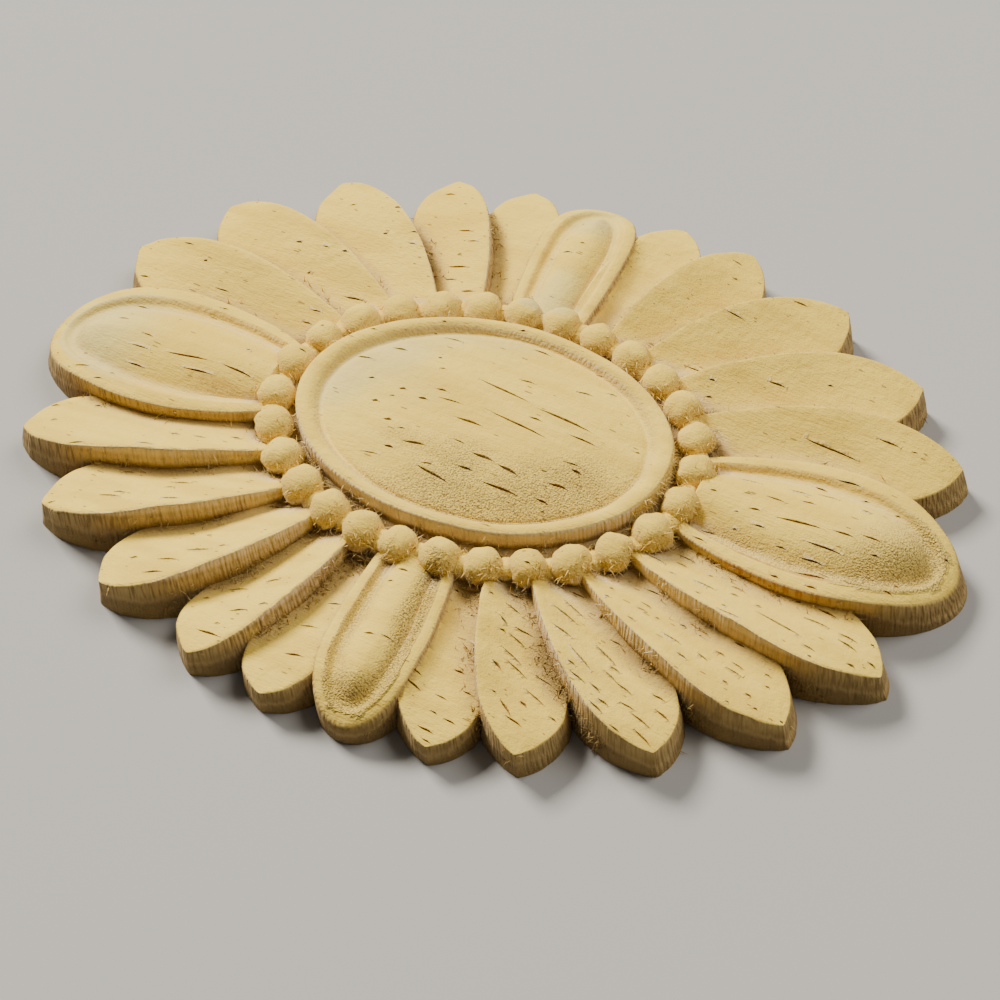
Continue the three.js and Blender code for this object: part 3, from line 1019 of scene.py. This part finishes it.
@dataclass
class GrainPores:
    """Open pores cut into the carving, the long ones in their places and the rest scattered."""

    long_ones: tuple[Pore, ...] = tuple(Pore(*row) for row in LONG_PORES)
    pitch: tuple[float, float] = (4.3, 2.5)
    slimness: float = 0.85
    depth: float = 0.4
    sway: float = 0.14
    seed: int = 5
    pores: list[Pore] = field(default_factory=list)

    def blade(self) -> Body:
        """Cutter of a unit pore: pointed at both ends, wavering, with a keel below."""
        rings = []
        for s in np.linspace(-1, 1, 7):
            half = np.maximum(0.06, 1 - np.abs(s) ** 1.9) / 2 * 1.5
            side = self.sway * np.sin(3.1 * s + 0.6)
            keel = -1.0 * (1 - 0.7 * s * s)
            corners = ((-half, 0.6), (half, 0.6), (0.0, keel))
            rings.append([(s / 2, y + side, z) for y, z in corners])
        return lofted(np.array(rings), ladder_cap=False).outward()

    def share_at(self, x: float, y: float) -> float:
        """How likely a scattered pore is at a place: few at the left, few on the middle."""
        if math.hypot(x / 30, y / 20) < 1.08:
            return 0.40 if x < -8 else 0.22
        if y < 8 and x > 4:
            return 0.85
        return 0.28 if y < 8 else 0.15

    def scatter(self) -> list[Pore]:
        """Choose the scattered pores, clear of each other and of the long ones.

        Returns:
            Every pore of the carving.
        """
        rng = np.random.default_rng(self.seed)
        found: list[Pore] = []
        for p in self.long_ones:
            if all(abs(p.middle[1] - q.middle[1]) > 0.9 or
                   abs(p.middle[0] - q.middle[0]) > (p.reach + q.reach) / 2 + 0.4 for q in found):
                found.append(Pore(p.x0, p.y0, p.x1, p.y1, p.width * self.slimness))
        columns = np.arange(-LENGTH / 2, LENGTH / 2, self.pitch[0])
        rows = np.arange(-WIDTH / 2, WIDTH / 2, self.pitch[1])
        for corner in itertools.product(columns, rows):
            x, y = corner + rng.uniform(0.15, 0.75, 2) * np.array(self.pitch)
            turn = math.radians(-4 + 0.010 * x * min(y, 0)) + rng.normal(0, 0.06)
            reach = rng.uniform(0.8, 1.1) * rng.choice((0.8, 1.3, 2.0, 2.8, 3.8))
            width = rng.uniform(0.24, 0.42)
            chosen = rng.uniform() < self.share_at(x, y)
            near = any(abs(p.middle[1] - y) < 0.7 + 0.12 * p.reach and
                       abs(p.middle[0] - x) < p.reach / 2 + 1.6 for p in found)
            if chosen and not near:
                dx, dy = reach / 2 * math.cos(turn), reach / 2 * math.sin(turn)
                found.append(Pore(x - dx, y - dy, x + dx, y + dy, width))
        return found

    def settle(self, mesh: bpy.types.Mesh) -> tuple[list[Pore], Array, Array]:
        """Find where each pore meets the carving, and leave out those that cross a wall.

        Args:
            mesh: The joined carving.

        Returns:
            The pores that stay, the places of their middles and the normals there.
        """
        copy = bmesh.new()
        copy.from_mesh(mesh)
        lookup = BVHTree.FromBMesh(copy)
        copy.free()
        kept, places, normals = [], [], []
        for pore in self.scatter():
            hits = []
            for share in (-0.48, 0.0, 0.48):
                x = pore.middle[0] + share * (pore.x1 - pore.x0)
                y = pore.middle[1] + share * (pore.y1 - pore.y0)
                hits.append(lookup.ray_cast(Vector((x, y, 30.0)) * MM, Vector((0, 0, -1))))
            if any(hit[0] is None or hit[1].z < 0.80 or hit[0].z < 2.5 * MM for hit in hits):
                continue
            bend = abs(hits[0][0].z + hits[2][0].z - 2 * hits[1][0].z) / MM
            if bend < 0.25 + 0.10 * pore.reach:
                kept.append(pore)
                places.append(np.array(hits[1][0]) / MM)
                normals.append(np.array(hits[1][1]))
        return kept, np.array(places), np.array(normals)

    def cloud(self, mesh: bpy.types.Mesh) -> bpy.types.Object:
        """Points on the carving, each with the size of its pore as attributes."""
        self.pores, places, normals = self.settle(mesh)
        made = mesh_object("pore_points", Body(places, []))
        for name, unit in (("turn", 1.0), ("reach", MM), ("width", MM)):
            write_mark(made.data, name, [getattr(p, name) * unit for p in self.pores])
        facing = made.data.attributes.new("facing", "FLOAT_VECTOR", "POINT")
        facing.data.foreach_set("vector", normals.astype(np.float32).ravel())
        log.info("pores: %d", len(self.pores))
        return made


@dataclass(frozen=True)
class FrayedFibres:
    """Short torn fibres that stand up where the cutter left the grain ragged."""

    length: float = 1.15
    thickness: float = 0.24
    density: float = 3.8e6
    seed: int = 9

    def sliver(self) -> Body:
        """One leaning fibre of three sides that stands on its root."""
        r, h = self.thickness / 2, self.length
        turn = np.radians([0, 120, 240])
        root = np.column_stack([r * np.cos(turn), r * np.sin(turn), np.full(3, -0.3 * h)])
        points = np.concatenate([root, [[0.25 * h, 0.05 * h, h]]])
        return Body(points, [(0, 2, 1), (0, 1, 3), (1, 2, 3), (2, 0, 3)]).outward()

    def spread(self, tree: ShapeTree, surface: Any, sliver: Any) -> Any:
        """Nodes that stand fibres on a surface where its mark asks for them.

        Args:
            tree: The tree to add to.
            surface: The geometry that the fibres stand on.
            sliver: The geometry of one fibre.

        Returns:
            The realized fibres.
        """
        thick = tree.math("MULTIPLY", tree.attribute("fray"), tree.given["Fibre Density"])
        values = {"Mesh": surface, "Density": thick, "Seed": tree.given["Seed"]}
        spots = tree.add("GeometryNodeDistributePointsOnFaces", values)
        tip = tree.chance((-1.05, -1.05, -3.1), (1.05, 1.05, 3.1), 3, "FLOAT_VECTOR")
        values = {"Rotation": spots.outputs["Rotation"], "Rotate By": tip}
        lean = tree.add("FunctionNodeRotateRotation", values, rotation_space="LOCAL")
        return tree.copies(spots.outputs[0], sliver, lean.outputs[0], tree.chance(0.45, 1.35, 4))


@dataclass
class Carving:
    """The whole rosette: every body of it joined as one closed mesh and dressed."""

    wood: CarvedWood = field(default_factory=CarvedWood)
    boss: Boss = field(default_factory=Boss)
    ground: Ground = field(default_factory=Ground)
    beads: BeadRing = field(default_factory=BeadRing)
    pores: GrainPores = field(default_factory=GrainPores)
    fibres: FrayedFibres = field(default_factory=FrayedFibres)
    broad: Spoon = Spoon(RING_LENGTH / 2, TOP_LENGTH / 2, 23.6, 8.5, 2.3, 0.5, 0.6, 2.0,
                         BACK_STRETCH, 150)
    narrow: Spoon = Spoon(RING_WIDTH / 2, WIDTH / 2, 15.0, 8.1, 1.7, 0.58, 0.8, 2.4, 1.0, 120,
                          groove_width=1.9, groove_depth=0.85, crown=0.9)
    petals: tuple[PointedPetal, ...] = (
        PointedPetal(21.9, 26.4, 7.7, 6.1, 7.1, 0.47, 5.1),
        PointedPetal(37.7, 42.5, 7.8, 6.0, 7.1, 0.47, 5.6),
        PointedPetal(54.2, 55.0, 7.8, 6.1, 7.1, 0.47, 5.8),
        PointedPetal(69.9, 67.3, 8.0, 4.9, 7.0, 0.47, 5.8),
        PointedPetal(79.9, 79.6, 7.2, 6.0, 5.8, 0.20, 4.8),
    )

    def covers(self, index: int) -> list[Callable[[Array], Array]]:
        """What stands over a petal: the petal before it, or a spoon at either end of the row."""
        found: list[Callable[[Array], Array]] = []
        if index == 0:
            found.append(lambda plan: np.abs(plan[:, 1]) - self.broad.half_breadth(plan[:, 0]))
        else:
            found.append(self.petals[index - 1].gap_to)
        if index == len(self.petals) - 1:
            found.append(lambda plan: np.abs(plan[:, 0]) - self.narrow.half_breadth(plan[:, 1]))
        return found

    def petal_group(self, side: Side) -> Body:
        """The pointed petals of one group in all four quarters."""
        bodies = []
        for index in range(side.value, len(self.petals), 2):
            for x, wear in ((1, RIGHT_WEAR), (-1, LEFT_WEAR)):
                body = self.petals[index].body(self.covers(index), wear)
                bodies += [body.scaled(x, y).outward() for y in (1, -1)]
        return joined(bodies)

    def operands(self, material: bpy.types.Material) -> dict[str, bpy.types.Object]:
        """Every body of the carving as an object of its own.

        Args:
            material: The finish of the beads.

        Returns:
            The objects by their place in the joining tree.
        """
        broad, narrow = self.broad.body().outward(), self.narrow.body().outward()
        made = {}
        for label, body in (
            ("Ground", self.ground.body()),
            ("Boss", self.boss.body()),
            ("Broad Spoons", joined([broad, broad.scaled(-1, 1).outward()])),
            ("Narrow Spoons", joined([narrow.turned(90), narrow.turned(-90)])),
            ("Petals Even", self.petal_group(Side.EVEN)),
            ("Petals Odd", self.petal_group(Side.ODD)),
        ):
            name = label.lower().replace(" ", "_")
            made[label] = mesh_object(name, Body(handled(body.points), body.faces))
            log.info("%s: %d faces", label, len(body.faces))
        made |= zip(("Beads Even", "Beads Odd", "Bead Webs"), self.beads.bodies(material))
        for body in made.values():
            turn_outward(body.data)
        return made

    def joining_tree(self, labels: Sequence[str], material: bpy.types.Material) -> ShapeTree:
        """Geometry nodes that join bodies to the one that carries the tree."""
        tree = ShapeTree("joined_bodies", **{label.replace(" ", "_"): "Object" for label in labels})
        parts = [tree.given["Geometry"], *(tree.body_of(label) for label in labels)]
        whole = tree.add("GeometryNodeMeshBoolean", {"Mesh 2": parts},
                         operation="UNION", solver="MANIFOLD")
        tree.close(whole.outputs[0], material)
        return tree

    def wearing_tree(self, material: bpy.types.Material) -> ShapeTree:
        """Geometry nodes that stand the torn fibres on the carving and cut its pores.

        Args:
            material: The finish of the whole.

        Returns:
            The tree.
        """
        tree = ShapeTree("pores_and_fibres", Pore_Points="Object", Pore_Cutter="Object",
                         Pore_Depth="Float", Fibre="Object", Fibre_Density="Float", Seed="Int")
        whole = tree.given["Geometry"]
        spots = tree.add("GeometryNodeMeshToPoints", {"Mesh": tree.body_of("Pore Points")})
        turn, reach, width = (tree.attribute(name) for name in ("turn", "reach", "width"))
        values = {0: tree.math("COSINE", turn), 1: tree.math("SINE", turn)}
        heading = tree.add("ShaderNodeCombineXYZ", values)
        values = {"Vector": tree.attribute("facing", "FLOAT_VECTOR")}
        upright = tree.add("FunctionNodeAlignRotationToVector", values, axis="Z")
        values = {"Rotation": upright.outputs[0], "Vector": heading.outputs[0]}
        turned = tree.add("FunctionNodeAlignRotationToVector", values, axis="X", pivot_axis="Z")
        size = tree.add("ShaderNodeCombineXYZ", {0: reach, 1: width, 2: tree.given["Pore Depth"]})
        blades = tree.copies(spots.outputs[0], tree.body_of("Pore Cutter"), turned.outputs[0],
                             size.outputs[0])
        fibres = self.fibres.spread(tree, whole, tree.body_of("Fibre"))
        opened = tree.add("GeometryNodeMeshBoolean", {"Mesh 1": whole, "Mesh 2": blades},
                          operation="DIFFERENCE", solver="MANIFOLD")
        worn = tree.add("GeometryNodeJoinGeometry", {0: [opened.outputs[0], fibres]})
        tree.close(worn.outputs[0], material)
        return tree

    def build(self) -> bpy.types.Object:
        """Join the bodies, mark the surface and dress the carving.

        Returns:
            The finished piece.
        """
        material = self.wood.material()
        bodies = self.operands(material)
        carrier = bodies.pop("Ground")
        whole = self.joining_tree(list(bodies), material).bake(carrier, bodies)
        carrier.data = whole
        log.info("joined bodies: %d triangles", triangles(whole))
        write_mark(whole, "fray", self.fray(Surface(whole)))
        write_mark(whole, "cut", np.zeros(len(whole.polygons)), "FACE")
        cloud, blade = self.pores.cloud(whole), self.pores.blade()
        cutter = mesh_object("pore_cutter", Body(blade.points * (1 / MM), blade.faces))
        write_mark(cutter.data, "cut", np.ones(len(blade.faces)), "FACE")
        fibre = mesh_object("fibre", self.fibres.sliver())
        mesh = self.wearing_tree(material).bake(carrier, {
            "Pore Points": cloud, "Pore Cutter": cutter, "Pore Depth": self.pores.depth * MM,
            "Fibre": fibre, "Fibre Density": self.fibres.density, "Seed": self.fibres.seed,
        })
        mesh.name = "carved_applique"
        piece = link("carved_applique", mesh)
        for used in [carrier, cloud, cutter, fibre, *bodies.values()]:
            bpy.data.objects.remove(used)
        kept_inside(mesh)
        self.mark_surface(mesh)
        mesh.shade_smooth()
        mesh.set_sharp_from_angle(angle=SHARP_ANGLE)
        log.info("carved_applique: %d triangles", triangles(mesh))
        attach(piece, "root")
        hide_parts("applique")
        return piece

    def mark_surface(self, mesh: bpy.types.Mesh) -> None:
        """Write how steep, hollow and stained the surface is, its grit with painted shade, and
        where painted cool light falls.
        """
        surface = Surface(mesh)
        beads = self.zones(surface.points)["beads"]
        steep = smoothstep(0.12, 0.62, 1 - np.abs(surface.normals[:, 2]))
        for name, values in (
            ("steep", steep * np.where(beads, 0.25, 1)),
            # The hollow mark drives painted shade in the finish, weaker on the beads.
            ("hollow", surface.hollow * np.where(beads, 0.4, 1)),
            ("grit", self.grit(surface)),
            ("bleach", self.bleach(surface.points)),
            ("rusty", self.rusty(surface)),
        ):
            write_mark(mesh, name, values)

    def zones(self, points: Array) -> dict[str, Array]:
        """Where each part of the carving lies, as masks over the points.

        Args:
            points: Places in millimetres.

        Returns:
            A mask for the dome, the beads and the insides of the broad and narrow spoons.
        """
        x, y, z = points.T
        dome = np.hypot(x / 26.2, y / 17.8) < 1
        ring = np.hypot(x / (RING_LENGTH / 2), y / (RING_WIDTH / 2))
        masks = {"dome": dome, "beads": (ring > 0.885) & (ring < 1.13) & (z > 7.9) & ~dome}
        for name, spoon, run, side in (("broad", self.broad, x, y), ("narrow", self.narrow, y, x)):
            away = np.abs(run)
            inside = np.abs(side) < spoon.half_breadth(away) - spoon.band
            masks[name] = inside & (away < spoon.end - spoon.band) & (away > spoon.start)
        return masks

    def grit(self, surface: "Surface") -> Array:
        """How rough the end grain is on the dome and spoons at the right, and on bead sides; its
        dark specks also paint shade on the dome's near side, the bead sides turned from the window
        lamp and the hollows.
        """
        x, y, _ = surface.points.T
        zones = self.zones(surface.points)
        waver = lattice_noise(surface.points, 6.0, 61) * 0.28
        # Partly painted shade: grit darkening the dome's near, lower right side.
        lower = smoothstep(0.10, 0.85, 0.46 * x / 26 - 1.0 * y / 17.6 + waver)
        outer = smoothstep(58.0, 67.0, x - 0.45 * y + 8 * waver)
        channel = smoothstep(0.2, 0.9, -y / 8.5 + waver) * (x > 0) * 0.55
        front = smoothstep(0.8, 3.2, x + 4 * waver) * (y < 0) + smoothstep(45, 49, -y)
        front = np.maximum(front, 0.6 * smoothstep(2.4, 4.4, -x + 3 * waver) * (y < 0))
        # Painted shade: grit on the bead sides turned from the window lamp.
        side = smoothstep(0.05, 0.60, surface.normals @ np.array([0.72, -0.62, -0.30]) + waver)
        # Painted shade: grit in the hollows.
        foot = surface.hollow * (0.35 + waver) * ~(zones["dome"] | zones["broad"])
        return np.clip(np.maximum.reduce([
            zones["dome"] * lower,
            zones["broad"] * np.maximum(outer, channel),
            zones["narrow"] * front,
            zones["beads"] * (0.14 + 0.32 * side),
            foot,
        ]), 0, 1)

    def bleach(self, points: Array) -> Array:
        """Painted cool light, a greyer tint where faces turn to the window lamp: at the upper left
        of the dome and at the spoons' outer ends.
        """
        x, y, _ = points.T
        zones = self.zones(points)
        waver = lattice_noise(points, 8.0, 71) * 0.25
        dome = zones["dome"] * smoothstep(0.35, 0.95, -0.75 * x / 26 + 0.55 * y / 17.6 + waver)
        reach = np.where(x < 0, 1.0, 0.35)
        ends = zones["broad"] * smoothstep(52, 66, np.abs(x) + 6 * waver) * reach
        far = zones["narrow"] * (y > 0) * smoothstep(0.5, 0.9, 0.6 + 1.4 * waver)
        return np.clip(dome + ends + far, 0, 1)

    def rusty(self, surface: "Surface") -> Array:
        """Where the wood is stained red: the front wall of the right spoon and a smudge."""
        x, y, z = surface.points.T
        wall = (y < -7.5) & (y > -13.5) & (z > 5.6) & (surface.normals[:, 2] < 0.8)
        along = smoothstep(40, 44, x) * smoothstep(61, 56, x)
        splinter = wall * 0.7 * along * smoothstep(5.6, 7.2, z)
        smudge = smoothstep(1.0, 0.2, np.hypot((x + 44) / 6.5, (y + 4.6) / 1.6)) * 0.45
        return np.clip(splinter + smudge, 0, 1)

    def fray(self, surface: "Surface") -> Array:
        """How many torn fibres stand on the surface."""
        x, y, z = surface.points.T
        zones = self.zones(surface.points)
        cluster = smoothstep(-0.2, 0.5, lattice_noise(surface.points, 2.4, 81))
        facing = surface.normals @ np.array([0.70, -0.66, -0.15])
        bead = zones["beads"] * smoothstep(0.15, 0.6, facing) * 0.8
        crease = smoothstep(0.28, 0.55, surface.hollow) * (z > 2.5)
        front = 0.35 + 0.65 * smoothstep(-30, 20, x - y)
        inner = (zones["dome"] | zones["broad"]) & ~zones["beads"]
        return np.where(inner, 0, (bead + crease * cluster) * front)


class Surface:
    """Places, normals and hollows of a mesh's points, in millimetres."""

    def __init__(self, mesh: bpy.types.Mesh) -> None:
        """Read the mesh."""
        normals = np.empty(len(mesh.vertices) * 3)
        mesh.vertices.foreach_get("normal", normals)
        self.points, self.normals = places_of(mesh) / MM, normals.reshape(-1, 3)
        self.hollow = np.clip(HeightMap(self.points).hollow(self.points) / 2.2, 0, 1)


class HeightMap:
    """Blurred height of the carving on a fine grid in plan."""

    pitch: float = 0.5
    margin: int = 12
    spread: float = 2.0

    def __init__(self, points: Array) -> None:
        """Read the highest point in each cell, fill the gaps and blur."""
        self.size = tuple(int(side / self.pitch) + 2 * self.margin for side in (LENGTH, WIDTH))
        grid = np.zeros(self.size)
        np.maximum.at(grid, self.cells(points), points[:, 2])
        for _ in range(3):
            beside = [np.roll(grid, step, axis) for axis in (0, 1) for step in (1, -1)]
            grid = np.where(grid > 0.5, grid, np.maximum.reduce(beside) * 0.999)
        steps = np.arange(-8, 9)
        weight = np.exp(-0.5 * (steps * self.pitch / self.spread) ** 2)
        weight /= weight.sum()
        for axis in (0, 1):
            grid = sum(w * np.roll(grid, s, axis) for s, w in zip(steps, weight))
        self.soft = grid

    def cells(self, points: Array) -> tuple[Array, ...]:
        """Grid cell of each point."""
        return tuple(
            np.clip(np.floor((points[:, axis] + side / 2) / self.pitch).astype(int) + self.margin,
                    0, self.size[axis] - 1)
            for axis, side in enumerate((LENGTH, WIDTH)))

    def hollow(self, points: Array) -> Array:
        """How far each point lies under the blurred height."""
        return self.soft[self.cells(points)] - points[:, 2]


@dataclass(frozen=True)
class Studio:
    """A plain pale floor, soft light from the left and the camera."""

    azimuth: float = 26.805
    elevation: float = 51.325
    roll: float = -5.55
    distance: float = 428.85
    target: tuple[float, float] = (4.393, -5.142)
    sensor: float = 36.0
    focal_share: float = 2.8045
    floor_size: float = 3.0
    floor_height: float = -0.05

    def camera(self) -> bpy.types.Object:
        """The camera at the photographed angle, as the scene's camera."""
        a, e, r = (math.radians(v) for v in (self.azimuth, self.elevation, self.roll))
        back = Vector((math.sin(a) * math.cos(e), -math.cos(a) * math.cos(e), math.sin(e)))
        right = Vector((math.cos(a), math.sin(a), 0))
        up = back.cross(right)
        side = math.cos(r) * right + math.sin(r) * up
        top = math.cos(r) * up - math.sin(r) * right
        data = bpy.data.cameras.new("camera")
        data.lens, data.sensor_width = self.focal_share * self.sensor, self.sensor
        data.clip_start, data.clip_end = 0.01, 20.0
        made = link("camera", data)
        place = Vector((*self.target, 0)) * MM + back * self.distance * MM
        turn = Matrix((side, top, back)).transposed().to_4x4()
        made.matrix_world = Matrix.Translation(place) @ turn
        bpy.context.scene.camera = made
        return made

    def lamp(self, name: str, place: Triple, size: float, power: float, colour: Triple) -> None:
        """A soft square lamp that looks at the carving.

        Args:
            name: Name of the lamp.
            place: Where it stands, in metres.
            size: Side of the square, in metres.
            power: Light power in watts.
            colour: Colour of the light.
        """
        data = bpy.data.lights.new(name, "AREA")
        data.size, data.energy, data.color = size, power, colour
        made = link(name, data)
        made.location = place
        made.rotation_euler = (-Vector(place)).to_track_quat("-Z", "Y").to_euler()

    def build(self) -> None:
        """Make the floor, the light and the camera."""
        half = self.floor_size / 2 / MM
        corners = [(x * half, y * half, self.floor_height)
                   for x, y in ((-1, -1), (1, -1), (1, 1), (-1, 1))]
        floor = mesh_object("floor", Body(np.array(corners), [(0, 1, 2, 3)]))
        floor.data.materials.append(PalePaper().material())
        world = bpy.data.worlds.new("studio")
        world.use_nodes = True
        w = Wiring(world.node_tree)
        shade = w.add("ShaderNodeBackground", {"Color": (1.0, 0.97, 0.92, 1), "Strength": 0.10})
        w.add("ShaderNodeOutputWorld", {"Surface": shade.outputs[0]})
        bpy.context.scene.world = world
        self.lamp("window", (-1.52, 0.80, 1.48), 0.70, 102.0, (1.0, 0.95, 0.85))
        self.lamp("sky", (0.95, 0.75, 1.60), 1.2, 30.0, (1.0, 0.96, 0.88))
        self.camera()
        log.info("studio: floor, two lamps and camera")


def main() -> None:
    """Build the carving and the studio."""
    logging.basicConfig(level=logging.INFO, format="%(name)s %(message)s")
    Carving().build()
    Studio().build()


if __name__ == "__main__":
    main()
